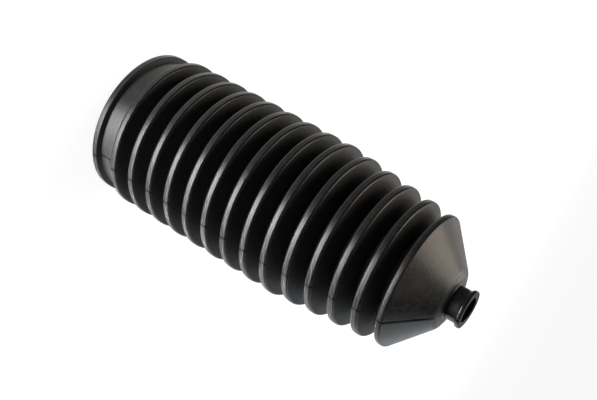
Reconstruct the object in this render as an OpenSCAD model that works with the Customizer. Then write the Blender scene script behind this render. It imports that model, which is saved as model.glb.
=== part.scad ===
// Steering rack boot: one rubber bellows, moulded in one piece, standing on its large end.
// The skin is one row of corners from the large end up to the lip. The outside is drawn through them,
// and the inside runs beside it at the thickness of each stretch.

/* [Large end] */
// Bore that slips over the end of the rack housing
seat_bore_d = 61; // [40:0.5:62]
// Thickness of the rubber under the clamp
seat_wall = 2.7; // [1.6:0.1:3.4]
// Width of the band that the clamp lies on
seat_w = 8.5; // [5:0.5:16]
// Height of the end bead above the clamp band
bead_rise = 2.3; // [0.8:0.1:5]
// Width of the end bead
bead_w = 3; // [1.6:0.1:8]
// Length over which the end bead drops to the clamp band
bead_step = 1; // [0.2:0.1:2]

/* [Convolutions] */
// Diameter over the crests of full size
crest_d = 74.5; // [70:0.5:110]
// Distance from one crest to the next
pitch = 10.9; // [9.5:0.1:16]
// Depth from a crest down to the root beside it
conv_depth = 11; // [7:0.5:16]
// Width of a crest
crest_land = 3.4; // [2.6:0.1:4.2]
// Width of a root
root_land = 1.6; // [0.6:0.1:2.4]
// Radius of the corners of a crest
crest_round = 1.2; // [0.1:0.1:1.4]
// Radius of the corners of a root
root_round = 0.8; // [0.1:0.1:1.4]
// Number of crests of full size
full_crests = 9; // [2:1:14]
// Number of smaller crests, with the shoulder of the cone as the last
small_crests = 5; // [1:1:6]
// Radius that each smaller crest loses
crest_drop = 1.24; // [0:0.02:1.6]
// Thickness of the skin of the convolutions
wall = 1.6; // [1:0.1:1.8]

/* [Cone] */
// Height of the cone, from the edge of its shoulder to its nose
cone_h = 18.1; // [12:0.1:40]
// Width of the shoulder before the cone falls away
shoulder_land = 2.6; // [1.8:0.1:5]
// Radius where the shoulder turns into the cone
shoulder_round = 1.2; // [0.5:0.1:5]
// Diameter of the nose, where the line of the cone would meet its end
nose_d = 25.7; // [22:0.1:34]
// Radius of the nose
nose_round = 12; // [1:0.5:16]
// Thickness of the cone and the nose
cone_wall = 2.1; // [1.2:0.1:3]

/* [Neck] */
// Bore that grips the tie rod
neck_bore_d = 12; // [8:0.5:15]
// Thickness of the rubber of the neck
neck_wall = 1.65; // [1:0.05:2.5]
// Width of the seat of the small clip, from the nose to the lip
neck_w = 5; // [3:0.5:14]
// Height of the lip above the neck
lip_rise = 1; // [0.4:0.1:3]
// Width of the lip
lip_w = 2.7; // [1.4:0.1:6]

/* [Finish] */
// Radius of the edges of the bead, the lip and both mouths
edge_round = 0.6; // [0.1:0.1:0.7]
// Radius of the corners inside the crests and at the foot of the neck
inner_round = 0.4; // [0.1:0.1:0.5]
// Facets round the axis in the preview
facets = 180; // [60:20:360]

/* [Hidden] */
// A round corner is drawn with steps no wider than this angle and no longer than this length
step_angle = 26;
step_length = 1.3;

seat_r = seat_bore_d / 2 + seat_wall;
bead_r = seat_r + bead_rise;
seat_end = bead_w + bead_step + seat_w;
neck_r = neck_bore_d / 2 + neck_wall;
lip_r = neck_r + lip_rise;

// The flanks of every convolution lean by the same run over the same depth
flank_run = (pitch - crest_land - root_land) / 2;
shoulder = full_crests + small_crests - 1;
first_crest_z = seat_end + (crest_d / 2 - seat_r) * flank_run / conv_depth;
nose_z = crest_z(shoulder) + cone_h;
lip_z = nose_z + neck_w;
total_h = lip_z + lip_w;

function crest_z(k) = first_crest_z + k * pitch;
function crest_r(k) = crest_d / 2 - crest_drop * max(0, k + 1 - full_crests);
function root_r(k) = (crest_r(k) + crest_r(k + 1)) / 2 - conv_depth;

// One convolution from its crest to the root after it: radius, height, corner radius, thickness beyond the corner
function convolution(k) = [
    [crest_r(k), crest_z(k), crest_round, wall],
    [crest_r(k), crest_z(k) + crest_land, crest_round, wall],
    [root_r(k), crest_z(k) + crest_land + flank_run, root_round, wall],
    [root_r(k), crest_z(k + 1) - flank_run, root_round, wall]
];

skin = [
    [seat_r, 0, 0, seat_wall],
    [seat_r, seat_end, root_round, wall],
    for (k = [0 : shoulder - 1]) each convolution(k),
    [crest_r(shoulder), crest_z(shoulder), crest_round, wall],
    [crest_r(shoulder), crest_z(shoulder) + shoulder_land, shoulder_round, cone_wall],
    [nose_d / 2, nose_z, nose_round, cone_wall],
    [neck_r, nose_z, inner_round, neck_wall],
    [neck_r, total_h, 0, neck_wall]
];
last = len(skin) - 1;

// Place of a corner without its radius and thickness
function place(corner) = [corner[0], corner[1]];
function unit(v) = v / norm(v);
// Direction of the stretch of skin that leaves corner i, and the way from it towards the axis
function along(i) = unit(place(skin[i + 1]) - place(skin[i]));
function inward(i) = [-along(i)[1], along(i)[0]];
// A point on the inside of the stretch that leaves corner i
function inside_point(i) = place(skin[i]) + inward(i) * skin[i][3];

// Corner of the inside: where the insides of the two stretches that meet at corner i cross
function inner_corner(i) =
    let (
        a = inside_point(i - 1),
        b = inside_point(i),
        d = along(i - 1),
        e = along(i),
        p = a + d * cross(b - a, e) / cross(d, e),
        thick = min(skin[i - 1][3], skin[i][3]),
        bulges = cross(d, e) > 0
    )
    [p[0], p[1], bulges ? max(skin[i][2] - thick, inner_round) : skin[i][2] + thick];

// Closed outline of the section, as corners with their radii: up the outside and down the inside
section = concat(
    [
        [bead_r, 0, edge_round],
        [bead_r, bead_w, edge_round],
        [seat_r, bead_w + bead_step, inner_round]
    ],
    [for (i = [1 : last - 1]) skin[i]],
    [
        [neck_r, lip_z, inner_round],
        [lip_r, lip_z + lip_rise, edge_round],
        [lip_r, total_h, edge_round],
        [neck_bore_d / 2, total_h, edge_round]
    ],
    [for (i = [last - 1 : -1 : 1]) inner_corner(i)],
    [[seat_bore_d / 2, 0, edge_round]]
);

// Points that round corner p off on its way from a to b, with a radius that its stretches leave room for
function rounded(a, p, b, radius) =
    let (
        u = unit(a - p),
        v = unit(b - p),
        half = acos(u * v) / 2,
        reach = min(radius / tan(half), 0.49 * norm(a - p), 0.49 * norm(b - p)),
        r = reach * tan(half),
        centre = p + unit(u + v) * r / sin(half),
        first = p + u * reach - centre,
        final = p + v * reach - centre,
        start = atan2(first[1], first[0]),
        sweep = (atan2(final[1], final[0]) - start + 540) % 360 - 180,
        steps = ceil(max(abs(sweep) / step_angle, abs(sweep) * PI / 180 * r / step_length))
    )
    [for (s = [0 : steps]) centre + r * [cos(start + sweep * s / steps), sin(start + sweep * s / steps)]];

function outline(corners) =
    let (n = len(corners))
    [
        for (i = [0 : n - 1])
            each rounded(
                place(corners[(i + n - 1) % n]),
                place(corners[i]),
                place(corners[(i + 1) % n]),
                corners[i][2]
            )
    ];

// The whole boot: its section turned round the axis
module boot() {
    color("#1d1d1f")
    rotate_extrude($fn = facets)
    polygon(outline(section));
}

boot();
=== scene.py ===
"""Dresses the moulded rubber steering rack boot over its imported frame, and sets its stage.

The boot stands on its large end at the origin, with its axis along Z. One section is drawn as a row of
corners, rounded with the bevel operator, and turned round the axis with the spin operator.
"""

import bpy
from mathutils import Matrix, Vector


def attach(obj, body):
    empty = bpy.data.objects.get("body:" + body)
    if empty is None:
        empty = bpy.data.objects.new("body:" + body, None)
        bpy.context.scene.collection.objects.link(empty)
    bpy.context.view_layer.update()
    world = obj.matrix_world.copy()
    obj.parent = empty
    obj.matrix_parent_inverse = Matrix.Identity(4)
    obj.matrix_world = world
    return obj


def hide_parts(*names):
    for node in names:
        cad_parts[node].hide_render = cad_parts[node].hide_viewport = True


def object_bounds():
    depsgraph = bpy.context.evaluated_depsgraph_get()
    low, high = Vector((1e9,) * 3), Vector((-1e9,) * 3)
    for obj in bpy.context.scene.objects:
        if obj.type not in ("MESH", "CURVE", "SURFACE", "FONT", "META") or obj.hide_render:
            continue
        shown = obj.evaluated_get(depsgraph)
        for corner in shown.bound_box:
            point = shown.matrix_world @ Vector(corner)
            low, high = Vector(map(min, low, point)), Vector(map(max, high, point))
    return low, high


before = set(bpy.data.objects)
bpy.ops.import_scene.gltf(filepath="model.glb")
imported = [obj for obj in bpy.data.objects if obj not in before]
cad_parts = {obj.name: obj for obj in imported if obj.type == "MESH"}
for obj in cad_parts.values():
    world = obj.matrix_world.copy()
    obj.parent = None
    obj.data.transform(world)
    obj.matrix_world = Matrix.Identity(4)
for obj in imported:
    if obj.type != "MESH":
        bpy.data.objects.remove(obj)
CAD_BOX = [list(corner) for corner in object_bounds()]

import math

import bmesh
import bpy
from bpy.props import FloatProperty, FloatVectorProperty, IntProperty, PointerProperty
from mathutils import Matrix, Vector

bl_info = {
    "name": "Steering rack boot",
    "version": (1, 0, 0),
    "blender": (4, 5, 0),
    "location": "3D View > Sidebar > Rack boot",
    "description": "Models the moulded rubber boot, gives it its finish and sets its stage",
    "category": "Object",
}


# Metres in a millimetre
MM = 0.001
# Widest steps of the rounded corners, outside and inside, in degrees
OUTSIDE_STEP = 15
INSIDE_STEP = 45
# A rounded corner takes at most this share of the stretch on either side of it
CORNER_SHARE = 0.49
# Points closer together than this are one point
MERGE = 0.001 * MM


def length(name, description, millimetres):
    """A length property whose default is given in millimetres."""
    return FloatProperty(name=name, description=description, default=millimetres * MM, min=0, unit="LENGTH")


def hex_colour(code):
    """Linear red, green, blue and alpha of an sRGB hex colour."""
    parts = [int(code[i:i + 2], 16) / 255 for i in (1, 3, 5)]
    linear = [c / 12.92 if c <= 0.04045 else ((c + 0.055) / 1.055) ** 2.4 for c in parts]
    return (*linear, 1.0)


def ratio(name, description, share):
    """A property between 0 and 1."""
    return FloatProperty(name=name, description=description, default=share, min=0, max=1, subtype="FACTOR")


def colour(name, description, code):
    """A colour property whose default is given as an sRGB hex colour."""
    return FloatVectorProperty(
        name=name, description=description, default=hex_colour(code), size=4, min=0, max=1, subtype="COLOR"
    )


class BootSizes(bpy.types.PropertyGroup):
    """Sizes of the boot, the same as in its solid model, and of the witness line that only its skin has."""

    seat_bore_d: length("Large bore", "Bore that slips over the rack housing", 61)
    seat_wall: length("Wall under the clamp", "Thickness of the rubber under the clamp", 2.7)
    seat_w: length("Clamp band", "Width of the band that the clamp lies on", 8.5)
    bead_rise: length("Bead height", "Height of the end bead above the clamp band", 2.3)
    bead_w: length("Bead width", "Width of the end bead", 3)
    bead_step: length("Bead step", "Length over which the bead drops to the band", 1)
    crest_d: length("Crest diameter", "Diameter over the full crests", 74.5)
    pitch: length("Pitch", "Distance from one crest to the next", 10.9)
    conv_depth: length("Fold depth", "Depth from a crest to the root beside it", 11)
    crest_land: length("Crest width", "Width of a crest", 3.4)
    root_land: length("Root width", "Width of a root", 1.6)
    crest_round: length("Crest corner", "Radius of the corners of a crest", 1.2)
    root_round: length("Root corner", "Radius of the corners of a root", 0.8)
    full_crests: IntProperty(
        name="Full crests", description="Number of crests of full size", default=9, min=2
    )
    small_crests: IntProperty(
        name="Smaller crests", description="Number of smaller crests, shoulder included", default=5, min=1
    )
    crest_drop: length("Crest drop", "Radius that each smaller crest loses", 1.24)
    wall: length("Skin", "Thickness of the skin of the convolutions", 1.6)
    cone_h: length("Cone height", "Height of the cone from its shoulder to its nose", 18.1)
    shoulder_land: length("Shoulder width", "Width of the shoulder before the cone falls away", 2.6)
    shoulder_round: length("Shoulder corner", "Radius where the shoulder turns into the cone", 1.2)
    nose_d: length("Nose diameter", "Diameter where the line of the cone meets the nose", 25.7)
    nose_round: length("Nose radius", "Radius of the nose", 12)
    cone_wall: length("Cone wall", "Thickness of the cone and the nose", 2.1)
    neck_bore_d: length("Small bore", "Bore that grips the tie rod", 12)
    neck_wall: length("Neck wall", "Thickness of the rubber of the neck", 1.65)
    neck_w: length("Neck width", "Width of the seat of the small clip", 5)
    lip_rise: length("Lip height", "Height of the lip above the neck", 1)
    lip_w: length("Lip width", "Width of the lip", 2.7)
    edge_round: length("Edge radius", "Radius of the edges of the bead, lip and mouths", 0.6)
    inner_round: length("Inner corner", "Radius of the corners inside the crests", 0.4)
    turns: IntProperty(name="Steps round", description="Steps of the turned surface", default=168, min=24)
    parting_angle: FloatProperty(
        name="Parting line", description="Where the halves of the mould met, round the axis",
        default=math.radians(-46), subtype="ANGLE",
    )
    parting_w: length("Parting width", "Width of the witness line of the mould", 0.75)
    cone_parting_w: length("Parting width on the cone", "Width of the witness line on the cone", 1.07)
    parting_depth: length("Parting depth", "Depth of the witness line of the mould", 0.08)


class RubberLook(bpy.types.PropertyGroup):
    """Colours, finish and patterns of the moulded rubber."""

    deep: colour("Rubber", "Carbon black rubber", "#09090a")
    worn: colour("Lighter rubber", "Rubber where the mould left it a little lighter", "#1c1a19")
    # Bloom is real wax, and the same colour also paints the cool light's grey reflection on the cone beside
    # the line
    bloom_and_painted_grey: colour("Bloom", "Wax that has come to the surface", "#3a3835")
    # Stain is real, and its brown also paints the warm light on one side of the cone
    stain_and_warm_light: colour("Stain", "Brown wax in patches on the cone", "#40382f")
    line: colour("Parting line", "Rubber in the witness line of the mould", "#030303")
    smooth: ratio("Smoothest skin", "Roughness where the mould was polished", 0.30)
    dull: ratio("Dullest skin", "Roughness where the mould was worn", 0.37)
    fold: ratio("Skin of the folds", "Roughness of the flanks, which deep grooves leave unpolished", 0.55)
    cone: ratio("Skin of the cone", "Roughness that the cone has beyond the crests", 0.02)
    neck: ratio("Skin of the neck", "Roughness that the neck lacks, where its clip has to seal", 0.17)
    trim: ratio("Trimmed end", "Roughness added to the end of the lip, where its flash was cut off", 0.40)
    groove: ratio("Dull line", "Roughness that the witness line has, and sheen that it lacks", 0.45)
    patch_w: length("Patches", "Width of the patches that mottle the skin", 4.762)
    grain_w: length("Grain", "Width of the grain, drawn coarser than it is so that it shows", 1.1765)
    grain_h: length("Grain height", "Height of the grain", 0.2)
    drift_w: length("Drift", "Width of the stains, and length over which the witness line fades", 15.385)
    wander: length("Wander", "Width of the strip in which the witness line wanders", 1.6)
    # The side of the cone that has the stain and the painted warm light
    stain_and_light_side: FloatProperty(
        name="Stained side", description="Where the cone is stained, round the axis",
        default=math.radians(-130), subtype="ANGLE",
    )


class StageLook(bpy.types.PropertyGroup):
    """Floor, walls and the strength of the lamps."""

    white: colour("Floor", "White floor that the picture shows", "#ffffff")
    pale: colour("Pale floor", "Floor beside the picture", "#adadad")
    # The dim floor is painted shade, where the lamps' light falls off far from the boot
    dim: colour("Dim floor", "Floor far from the boot", "#545454")
    walls: FloatProperty(name="Walls", description="Brightness of the room's dim walls", default=0.08, min=0)
    floor_w: length("Floor width", "Length and width of the floor", 24000)
    left: length("Left", "Way from the boot's axis to the left edge of the white floor", 66)
    front: length("Front", "Way from the boot's axis to the front edge of the white floor", 106)
    fade: length("Fade", "Way over which the white floor turns pale beyond its edges", 100)
    near: length("Lit floor", "Way from the boot at which the pale floor begins to dim", 400)
    far: length("Dim beyond", "Way from the boot at which the pale floor is dim", 800)
    drop: length("Drop", "Way from the boot down to the floor", 0.5)
    turn: FloatProperty(
        name="Turn", description="Turn of the white floor, so that its left edge follows the picture's",
        default=math.radians(25.3), subtype="ANGLE",
    )
    glow: ratio("Glow", "Brightness at which the camera sees the white floor without its light", 0.92)
    shade: ratio("Shade", "Share of the floor's light that the camera sees, with its soft shadow", 0.25)
    lamps: FloatProperty(name="Lamps", description="Strength of all the lamps", default=1.0, min=0)


def outer_skin(s):
    """Corners of the outside as radius, height, corner radius and the thickness beyond the corner."""
    seat_r = s.seat_bore_d / 2 + s.seat_wall
    seat_end = s.bead_w + s.bead_step + s.seat_w
    flank = (s.pitch - s.crest_land - s.root_land) / 2
    shoulder = s.full_crests + s.small_crests - 1
    first = seat_end + (s.crest_d / 2 - seat_r) * flank / s.conv_depth

    def crest_z(k):
        return first + k * s.pitch

    def crest_r(k):
        return s.crest_d / 2 - s.crest_drop * max(0, k + 1 - s.full_crests)

    skin = [(seat_r, 0, 0, s.seat_wall), (seat_r, seat_end, s.root_round, s.wall)]
    for k in range(shoulder):
        root_r = (crest_r(k) + crest_r(k + 1)) / 2 - s.conv_depth
        skin += [
            (crest_r(k), crest_z(k), s.crest_round, s.wall),
            (crest_r(k), crest_z(k) + s.crest_land, s.crest_round, s.wall),
            (root_r, crest_z(k) + s.crest_land + flank, s.root_round, s.wall),
            (root_r, crest_z(k + 1) - flank, s.root_round, s.wall),
        ]
    edge_z = crest_z(shoulder)
    neck_r = s.neck_bore_d / 2 + s.neck_wall
    nose_z = edge_z + s.cone_h
    skin += [
        (crest_r(shoulder), edge_z, s.crest_round, s.wall),
        (crest_r(shoulder), edge_z + s.shoulder_land, s.shoulder_round, s.cone_wall),
        (s.nose_d / 2, nose_z, s.nose_round, s.cone_wall),
        (neck_r, nose_z, s.inner_round, s.neck_wall),
        (neck_r, nose_z + s.neck_w + s.lip_w, 0, s.neck_wall),
    ]
    return skin


def inner_corner(skin, i, inner_round):
    """Corner of the inside, where the insides of the two stretches that meet at corner i cross."""
    places = [Vector(corner[:2]) for corner in skin]
    before = (places[i] - places[i - 1]).normalized()
    after = (places[i + 1] - places[i]).normalized()
    a = places[i - 1] + Vector((-before.y, before.x)) * skin[i - 1][3]
    b = places[i] + Vector((-after.y, after.x)) * skin[i][3]
    turn = before.cross(after)
    place = a + before * (b - a).cross(after) / turn
    thick = min(skin[i - 1][3], skin[i][3])
    radius = max(skin[i][2] - thick, inner_round) if turn > 0 else skin[i][2] + thick
    return place.x, place.y, radius


def boot_section(s):
    """The closed section as two rows of corners, outside and inside: radius, height and corner radius."""
    skin = outer_skin(s)
    last = len(skin) - 1
    seat_r, neck_r, top = skin[0][0], skin[last][0], skin[last][1]
    bead_r, lip_r = seat_r + s.bead_rise, neck_r + s.lip_rise
    lip_z = top - s.lip_w
    outside = [(bead_r, 0, s.edge_round), (bead_r, s.bead_w, s.edge_round)]
    outside += [(seat_r, s.bead_w + s.bead_step, s.inner_round)]
    outside += [corner[:3] for corner in skin[1:last]]
    outside += [
        (neck_r, lip_z, s.inner_round),
        (lip_r, lip_z + s.lip_rise, s.edge_round),
        (lip_r, top, s.edge_round),
    ]
    inside = [(s.neck_bore_d / 2, top, s.edge_round)]
    inside += [inner_corner(skin, i, s.inner_round) for i in range(last - 1, 0, -1)]
    inside += [(s.seat_bore_d / 2, 0, s.edge_round)]
    return outside, inside


def round_corner(bm, vert, radius, step):
    """Rounds one corner of a wire outline with the bevel operator, as far as its stretches leave room."""
    arms = [edge.other_vert(vert).co - vert.co for edge in vert.link_edges]
    half = arms[0].angle(arms[1]) / 2
    room = CORNER_SHARE * min(arm.length for arm in arms)
    reach = min(radius / math.tan(half), room)
    turn = math.pi - 2 * half
    bmesh.ops.bevel(
        bm, geom=[vert], affect="VERTICES", offset=reach, offset_type="OFFSET",
        segments=max(1, math.ceil(turn / step)), profile=0.5, material=-1, clamp_overlap=False,
    )


def turned_section(s):
    """The section's outline turned round the axis, with the outside marked 1 in the vertex layer skin."""
    bm = bmesh.new()
    skin = bm.verts.layers.float.new("skin")
    outside, inside = boot_section(s)
    verts = []
    for row, mark in ((outside, 1.0), (inside, 0.0)):
        for r, z, _ in row:
            vert = bm.verts.new((r, 0, z))
            vert[skin] = mark
            verts.append(vert)
    for i, vert in enumerate(verts):
        bm.edges.new((vert, verts[(i + 1) % len(verts)]))
    for i, (_, _, radius) in enumerate(outside + inside):
        step = OUTSIDE_STEP if i < len(outside) else INSIDE_STEP
        round_corner(bm, verts[i], radius, math.radians(step))
    bmesh.ops.rotate(
        bm, verts=bm.verts, cent=(0, 0, 0), matrix=Matrix.Rotation(s.parting_angle, 3, "Z")
    )
    bmesh.ops.spin(
        bm, geom=bm.verts[:] + bm.edges[:], cent=(0, 0, 0), axis=(0, 0, 1), dvec=(0, 0, 0),
        angle=math.tau, steps=s.turns, use_merge=True, use_normal_flip=False, use_duplicate=False,
    )
    bmesh.ops.remove_doubles(bm, verts=bm.verts, dist=MERGE)
    bmesh.ops.recalc_face_normals(bm, faces=bm.faces)
    return bm


def press_parting_line(bm, s):
    """Sinks the fine witness line that the mould's halves left along both sides of the outside."""
    skin = bm.verts.layers.float["skin"]
    across = Vector((-math.sin(s.parting_angle), math.cos(s.parting_angle), 0))
    for side in (-0.5, 0.5):
        bmesh.ops.bisect_plane(
            bm, geom=bm.verts[:] + bm.edges[:] + bm.faces[:], dist=0.1 * MERGE,
            plane_co=across * side * s.parting_w, plane_no=across, clear_inner=False, clear_outer=False,
        )
    bm.normal_update()
    line = [v for v in bm.verts if abs(v.co.dot(across)) < MERGE and v[skin] > 0.5]
    moves = [(v, v.normal.copy()) for v in line]
    for vert, normal in moves:
        vert.co -= normal * s.parting_depth


def finish_piece(bm, name, material):
    """Stores the mesh as a smooth shaded piece that stands at the origin."""
    mesh = bpy.data.meshes.new(name)
    bm.to_mesh(mesh)
    bm.free()
    mesh.shade_smooth()
    mesh.materials.append(material)
    piece = bpy.data.objects.new(name, mesh)
    bpy.context.scene.collection.objects.link(piece)
    return piece


def add_node(tree, kind, inputs=None, **settings):
    """Adds a node with its settings, and gives each input a value or a link from another node's output."""
    node = tree.nodes.new(kind)
    for name, value in settings.items():
        setattr(node, name, value)
    for socket, value in (inputs or {}).items():
        if isinstance(value, bpy.types.NodeSocket):
            tree.links.new(value, node.inputs[socket])
        else:
            node.inputs[socket].default_value = value
    return node


def skin_masks(tree, look, s):
    """Shares, most of them from 0 to 1, that say where on the skin each part of its finish lies."""
    coordinates = add_node(tree, "ShaderNodeTexCoord").outputs
    place = coordinates["Object"]
    height = add_node(tree, "ShaderNodeSeparateXYZ", {0: place}).outputs["Z"]
    facing = add_node(tree, "ShaderNodeSeparateXYZ", {0: coordinates["Normal"]}).outputs["Z"]
    lean = add_node(tree, "ShaderNodeMath", {0: facing}, operation="ABSOLUTE").outputs[0]

    # Real grain is under a tenth of a millimetre wide. It is drawn over ten times as coarse, to show
    noise = {}
    for name, width, detail, roughness in (
        ("patches", look.patch_w, 4, 0.62),
        ("grain", look.grain_w, 3, 0.6),
        ("drift", look.drift_w, 2, 0.5),
    ):
        inputs = {"Vector": place, "Scale": 1 / width, "Detail": detail, "Roughness": roughness}
        noise[name] = add_node(tree, "ShaderNodeTexNoise", inputs).outputs["Fac"]
    inputs = {0: noise["grain"], 1: noise["patches"]}
    mottle = add_node(tree, "ShaderNodeMath", inputs, operation="ADD").outputs[0]

    # How far a place lies from the axis towards the front line, across the mould's halves and to the side
    # with the stain and painted warm light
    way = {}
    for name, angle in (
        ("front", s.parting_angle),
        ("across", s.parting_angle + math.pi / 2),
        ("stain_and_warm_light", look.stain_and_light_side),
    ):
        inputs = {0: place, 1: (math.cos(angle), math.sin(angle), 0)}
        way[name] = add_node(tree, "ShaderNodeVectorMath", inputs, operation="DOT_PRODUCT").outputs["Value"]

    # Distance from the witness line, which wanders to either side of the plane where the halves met
    inputs = {0: noise["drift"], 1: look.wander, 2: way["across"]}
    wandering = add_node(tree, "ShaderNodeMath", inputs, operation="MULTIPLY_ADD").outputs[0]
    inputs = {0: wandering, 1: look.wander / 2}
    offset = add_node(tree, "ShaderNodeMath", inputs, operation="SUBTRACT").outputs[0]
    gap = add_node(tree, "ShaderNodeMath", {0: offset}, operation="ABSOLUTE").outputs[0]

    corners = outer_skin(s)
    cone_z, nose_z, top = (corners[i][1] for i in (-4, -3, -1))
    masks = {
        "grain": noise["grain"],
        "outside": add_node(tree, "ShaderNodeAttribute", attribute_name="skin").outputs["Fac"],
    }
    # Each share by the number it follows, where that starts and stops, and the share at its start and stop
    for name, numbers in {
        # Where the rubber is lighter, and how rough its skin is
        "lighter": (mottle, 0.85, 1.35, 0, 1),
        "roughness": (mottle, 0.75, 1.25, look.smooth, look.dull),
        # The flanks of the folds face along the axis, and the crests, roots and cone don't
        "fold": (lean, 0.80, 0.95, 0, 1),
        "off_fold": (lean, 0.84, 0.91, 1, 0),
        # The cone from the rounding of its shoulder on, and how far up its specks and its stain and painted
        # warm light reach
        "cone": (height, cone_z - 0.4 * MM, cone_z + 1.1 * MM, 0, 1),
        "under_nose": (height, nose_z - 3.4 * MM, nose_z - 0.4 * MM, 1, 0),
        "under_stain_and_light_end": (height, nose_z - 5.4 * MM, nose_z - 1.4 * MM, 1, 0),
        # The neck, and the face at the end of the lip
        "neck": (height, nose_z - 1.2 * MM, nose_z + 0.1 * MM, 0, 1),
        "end_face": (height, top - 0.34 * MM, top - 0.09 * MM, 0, 1),
        # Bloom as specks in the grain, and painted grey light on the cone, which the grain makes uneven
        "specks": (noise["grain"], 0.40, 0.60, 0, 0.28),
        "painted_grey_grain": (noise["grain"], 0.40, 0.60, 0.70, 1),
        # Where grey light is painted: the half of the mould beyond the line, and the boot's front, which
        # begins softly at its axis
        "far_half": (way["across"], 0, 0.8 * MM, 0, 1),
        "front": (way["front"], 0, 10 * MM, 0, 1),
        # Stain in patches on one side of the cone, where warm light is painted in with it
        "stain_and_warm_light": (noise["drift"], 0.35, 0.65, 0.15, 0.75),
        "stain_and_light_side": (way["stain_and_warm_light"], 10 * MM, 24 * MM, 0, 1),
        # The witness line has soft edges, is wider on the cone and is faint in places
        "line": (gap, 0.9 * s.parting_w, 0.4 * s.parting_w, 0, 1),
        "wide_line": (gap, 0.9 * s.cone_parting_w, 0.4 * s.cone_parting_w, 0, 1),
        "faint_line": (noise["drift"], 0.30, 0.52, 0.45, 1),
        # Strength of the grain, which stands out more in the folds and on the cone
        "fold_grain": (lean, 0.80, 0.95, 0, 0.35),
        "cone_grain": (height, cone_z - 0.4 * MM, cone_z + 1.1 * MM, 0.05, 0.22),
    }.items():
        inputs = dict(enumerate(numbers))
        share = add_node(tree, "ShaderNodeMapRange", inputs, interpolation_type="SMOOTHSTEP")
        masks[name] = share.outputs["Result"]

    inputs = {0: masks["wide_line"], 1: masks["cone"]}
    wide = add_node(tree, "ShaderNodeMath", inputs, operation="MULTIPLY").outputs[0]
    line = add_node(tree, "ShaderNodeMath", {0: masks["line"], 1: wide}, operation="MAXIMUM").outputs[0]
    for name in ("outside", "faint_line", "off_fold"):
        line = add_node(tree, "ShaderNodeMath", {0: line, 1: masks[name]}, operation="MULTIPLY").outputs[0]
    masks["line"] = line
    return masks


def moulded_rubber(look, s):
    """Carbon black rubber, compression moulded: satin, faintly mottled, darker in the witness line, with
    grey and warm light painted on the cone.
    """
    material = bpy.data.materials.new("moulded_rubber")
    material.use_nodes = True
    tree = material.node_tree
    tree.nodes.clear()
    masks = skin_masks(tree, look, s)

    # A polished steel mould leaves a satin skin: the crests catch soft highlights, and the folds stay black
    tint = look.deep
    for shade, share, names in (
        (look.worn, 1, ("lighter",)),
        # A little bloom stays in the folds, where no hand wipes it off
        (look.bloom_and_painted_grey, 0.22, ("fold",)),
        (look.bloom_and_painted_grey, 1, ("specks", "cone", "under_nose")),
        # Painted warm light: the cone is browner in patches on one side, partly stain
        (look.stain_and_warm_light, 1, ("stain_and_warm_light", "cone", "under_stain_and_light_end", "stain_and_light_side")),
        # One half of the mould left the cone a little greyer beside the line, and more grey is painted there
        # as the cool light's reflection
        (look.bloom_and_painted_grey, 1, ("far_half", "cone", "painted_grey_grain", "front")),
        (look.line, 1, ("line",)),
    ):
        factor = share
        for name in names:
            inputs = {0: factor, 1: masks[name]}
            factor = add_node(tree, "ShaderNodeMath", inputs, operation="MULTIPLY").outputs[0]
        tint = add_node(tree, "ShaderNodeMix", {0: factor, 6: tint, 7: shade}, data_type="RGBA").outputs[2]

    roughness = masks["roughness"]
    for name, share in (
        ("fold", look.fold - look.smooth),
        ("cone", look.cone),
        ("neck", -look.neck),
        ("end_face", look.trim),
        ("line", look.groove),
    ):
        inputs = {0: masks[name], 1: share, 2: roughness}
        roughness = add_node(tree, "ShaderNodeMath", inputs, operation="MULTIPLY_ADD").outputs[0]

    inputs = {0: masks["line"], 1: -look.groove, 2: 0.5}
    sheen = add_node(tree, "ShaderNodeMath", inputs, operation="MULTIPLY_ADD").outputs[0]
    inputs = {0: masks["fold_grain"], 1: masks["cone_grain"]}
    strength = add_node(tree, "ShaderNodeMath", inputs, operation="MAXIMUM").outputs[0]
    inputs = {"Height": masks["grain"], "Strength": strength, "Distance": look.grain_h}
    bump = add_node(tree, "ShaderNodeBump", inputs).outputs["Normal"]
    inputs = {
        "Base Color": tint, "Roughness": roughness, "Specular IOR Level": sheen, "Normal": bump, "IOR": 1.45,
    }
    shader = add_node(tree, "ShaderNodeBsdfPrincipled", inputs).outputs["BSDF"]
    add_node(tree, "ShaderNodeOutputMaterial", {"Surface": shader})
    return material


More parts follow.
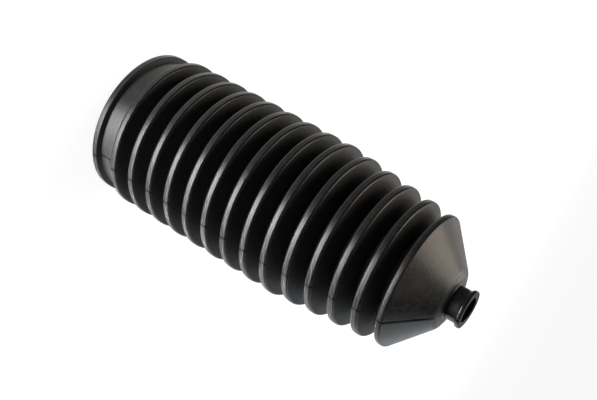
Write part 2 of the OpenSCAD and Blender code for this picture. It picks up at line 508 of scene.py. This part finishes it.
def painted_floor(look):
    """Matt paint: it shows no lamp, only a soft shadow and painted shade far from the boot, and is white
    where the picture shows it.
    """
    material = bpy.data.materials.new("painted_floor")
    material.use_nodes = True
    tree = material.node_tree
    tree.nodes.clear()
    place = add_node(tree, "ShaderNodeTexCoord").outputs["Object"]
    # Painted shade: beyond the white, the floor darkens with distance from the boot, as the lamps' light
    # falls off
    reach = add_node(tree, "ShaderNodeVectorMath", {0: place}, operation="LENGTH").outputs["Value"]
    inputs = {0: reach, 1: look.near, 2: look.far}
    beyond = add_node(tree, "ShaderNodeMapRange", inputs, interpolation_type="SMOOTHSTEP").outputs["Result"]
    white = 1
    for angle, edge in ((look.turn, look.left), (look.turn + math.pi / 2, look.front)):
        inputs = {0: place, 1: (math.cos(angle), math.sin(angle), 0)}
        way = add_node(tree, "ShaderNodeVectorMath", inputs, operation="DOT_PRODUCT").outputs["Value"]
        inputs = {0: way, 1: -edge - look.fade, 2: -edge}
        inside = add_node(tree, "ShaderNodeMapRange", inputs, interpolation_type="SMOOTHSTEP")
        inputs = {0: white, 1: inside.outputs["Result"]}
        white = add_node(tree, "ShaderNodeMath", inputs, operation="MULTIPLY").outputs[0]
    tint = look.pale
    for factor, shade in ((beyond, look.dim), (white, look.white)):
        tint = add_node(tree, "ShaderNodeMix", {0: factor, 6: tint, 7: shade}, data_type="RGBA").outputs[2]

    # The camera and reflections see the floor's own colour, with only a share of its light and shadow
    rays = add_node(tree, "ShaderNodeLightPath").outputs
    inputs = {0: rays["Is Camera Ray"], 1: rays["Is Glossy Ray"]}
    seen = add_node(tree, "ShaderNodeMath", inputs, operation="MAXIMUM").outputs[0]
    matt = add_node(tree, "ShaderNodeBsdfDiffuse", {"Color": tint}).outputs[0]
    faint = add_node(tree, "ShaderNodeMixShader", {0: look.shade, 2: matt}).outputs[0]
    glow = add_node(tree, "ShaderNodeEmission", {"Color": tint, "Strength": look.glow}).outputs[0]
    paint = add_node(tree, "ShaderNodeAddShader", {0: faint, 1: glow}).outputs[0]
    surface = add_node(tree, "ShaderNodeMixShader", {0: seen, 1: matt, 2: paint}).outputs[0]
    add_node(tree, "ShaderNodeOutputMaterial", {"Surface": surface})
    return material


def studio_room(walls):
    """World: the dim walls of the room."""
    world = bpy.data.worlds.new("studio_room")
    world.use_nodes = True
    tree = world.node_tree
    tree.nodes.clear()
    room = add_node(tree, "ShaderNodeBackground", {"Color": (1, 1, 1, 1), "Strength": walls}).outputs[0]
    add_node(tree, "ShaderNodeOutputWorld", {"Surface": room})
    return world


class RACKBOOT_OT_moulding(bpy.types.Operator):
    """Models the boot's rubber moulding and gives it its finish"""

    bl_idname = "rackboot.moulding"
    bl_label = "Boot moulding"

    def execute(self, context):
        sizes = context.scene.boot_sizes
        bm = turned_section(sizes)
        press_parting_line(bm, sizes)
        piece = finish_piece(bm, "boot_moulding", moulded_rubber(context.scene.rubber_look, sizes))
        # The wide faces lead the shading, so that crests and flanks look flat between their round corners
        weighted = piece.modifiers.new("face_weighted_normals", "WEIGHTED_NORMAL")
        weighted.mode = "FACE_AREA"
        weighted.weight = 60
        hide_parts("boot")
        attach(piece, "root")
        return {"FINISHED"}


# Each lamp by its bearing round the boot and its height angle in degrees, its distance, width and height in
# metres, how bright its face is against white, and its colour. The low three shine up past the floor.
LAMPS = {
    "window": (-66, -28.4, 0.682, (0.46, 0.335), 18.5, "#ffffff"),
    "window_edge": (-33, -28.4, 0.682, (0.26, 0.335), 7.0, "#ffffff"),
    "window_side": (2, -28.4, 0.682, (0.72, 0.335), 2.8, "#ffffff"),
    "warm_box": (158, 55, 1.0, (0.76, 0.76), 4.2, "#fff4e6"),
    "warm_fill": (125, 22, 1.0, (0.54, 0.54), 1.0, "#fffdfa"),
    "warm_back": (106, 45, 1.0, (0.54, 0.54), 4.3, "#fff8f0"),
    "backdrop": (90, 13, 1.2, (1.1, 0.5), 0.45, "#ffffff"),
    "cool_box": (52, 28, 1.0, (1.05, 0.93), 1.05, "#eef7ff"),
    "top_box": (-110, 86, 1.0, (0.7, 0.7), 0.35, "#ffffff"),
}


# The camera's lens in millimetres, its place in metres and its turn in degrees
CAMERA_LENS = 53.58
CAMERA_PLACE = (-0.004297, -0.364020, 0.250635)
CAMERA_TURN = (-48.70996, -52.49273, 145.13639)


class RACKBOOT_OT_stage(bpy.types.Operator):
    """Sets the floor, the lights and the camera"""

    bl_idname = "rackboot.stage"
    bl_label = "Stage"

    def execute(self, context):
        scene = context.scene
        look = scene.stage_look
        bm = bmesh.new()
        sunk = Matrix.Translation((0, 0, -look.drop))
        bmesh.ops.create_grid(bm, x_segments=1, y_segments=1, size=look.floor_w / 2, matrix=sunk)
        floor = finish_piece(bm, "floor", painted_floor(look))
        floor.visible_shadow = False

        middle = CAD_BOX[1][2] / 2
        for name, (bearing, rise, distance, (width, high), face, tint) in LAMPS.items():
            raised = Matrix.Rotation(math.radians(-rise), 3, "Y")
            way = Matrix.Rotation(math.radians(bearing), 3, "Z") @ raised
            lamp = bpy.data.lights.new(name, "AREA")
            lamp.shape = "RECTANGLE" if rise < 0 else "ELLIPSE"
            lamp.size, lamp.size_y = width, high
            area = width * high * (1 if rise < 0 else math.pi / 4)
            # A face as bright as white gives off pi watts a square metre
            lamp.energy = face * area * math.pi * look.lamps
            lamp.color = hex_colour(tint)[:3]
            # A reflection that is traced would meet the floor before a low lamp, so none is traced to it
            lamp.cycles.use_multiple_importance_sampling = rise > 0
            box = bpy.data.objects.new(name, lamp)
            box.location = Vector((0, 0, middle)) + way @ Vector((distance, 0, 0))
            facing = way @ Vector((1, 0, 0))
            # The low lamps stand upright
            if rise < 0:
                facing.z = 0
            box.rotation_euler = facing.to_track_quat("Z", "Y").to_euler()
            box.visible_camera = False
            scene.collection.objects.link(box)

        scene.world = studio_room(look.walls)

        lens = bpy.data.cameras.new("picture_camera")
        lens.lens = CAMERA_LENS
        lens.sensor_width = 36
        lens.clip_start, lens.clip_end = 0.01, 100
        camera = bpy.data.objects.new("picture_camera", lens)
        camera.location = CAMERA_PLACE
        camera.rotation_euler = [math.radians(angle) for angle in CAMERA_TURN]
        scene.collection.objects.link(camera)
        scene.camera = camera
        scene.view_settings.view_transform = "Standard"
        return {"FINISHED"}


class RACKBOOT_PT_panel(bpy.types.Panel):
    """Sizes and looks of the boot, in the sidebar"""

    bl_idname = "RACKBOOT_PT_panel"
    bl_label = "Rack boot"
    bl_space_type = "VIEW_3D"
    bl_region_type = "UI"
    bl_category = "Rack boot"

    def draw(self, context):
        scene = context.scene
        for group in (scene.boot_sizes, scene.rubber_look, scene.stage_look):
            column = self.layout.column(align=True)
            for name in group.__annotations__:
                column.prop(group, name)
        self.layout.operator("rackboot.moulding")
        self.layout.operator("rackboot.stage")


CLASSES = (BootSizes, RubberLook, StageLook, RACKBOOT_OT_moulding, RACKBOOT_OT_stage, RACKBOOT_PT_panel)


def register():
    for each in CLASSES:
        bpy.utils.register_class(each)
    bpy.types.Scene.boot_sizes = PointerProperty(type=BootSizes)
    bpy.types.Scene.rubber_look = PointerProperty(type=RubberLook)
    bpy.types.Scene.stage_look = PointerProperty(type=StageLook)


def unregister():
    del bpy.types.Scene.stage_look
    del bpy.types.Scene.rubber_look
    del bpy.types.Scene.boot_sizes
    for each in reversed(CLASSES):
        bpy.utils.unregister_class(each)


def main():
    register()
    bpy.ops.rackboot.moulding()
    bpy.ops.rackboot.stage()


if __name__ == "__main__":
    main()
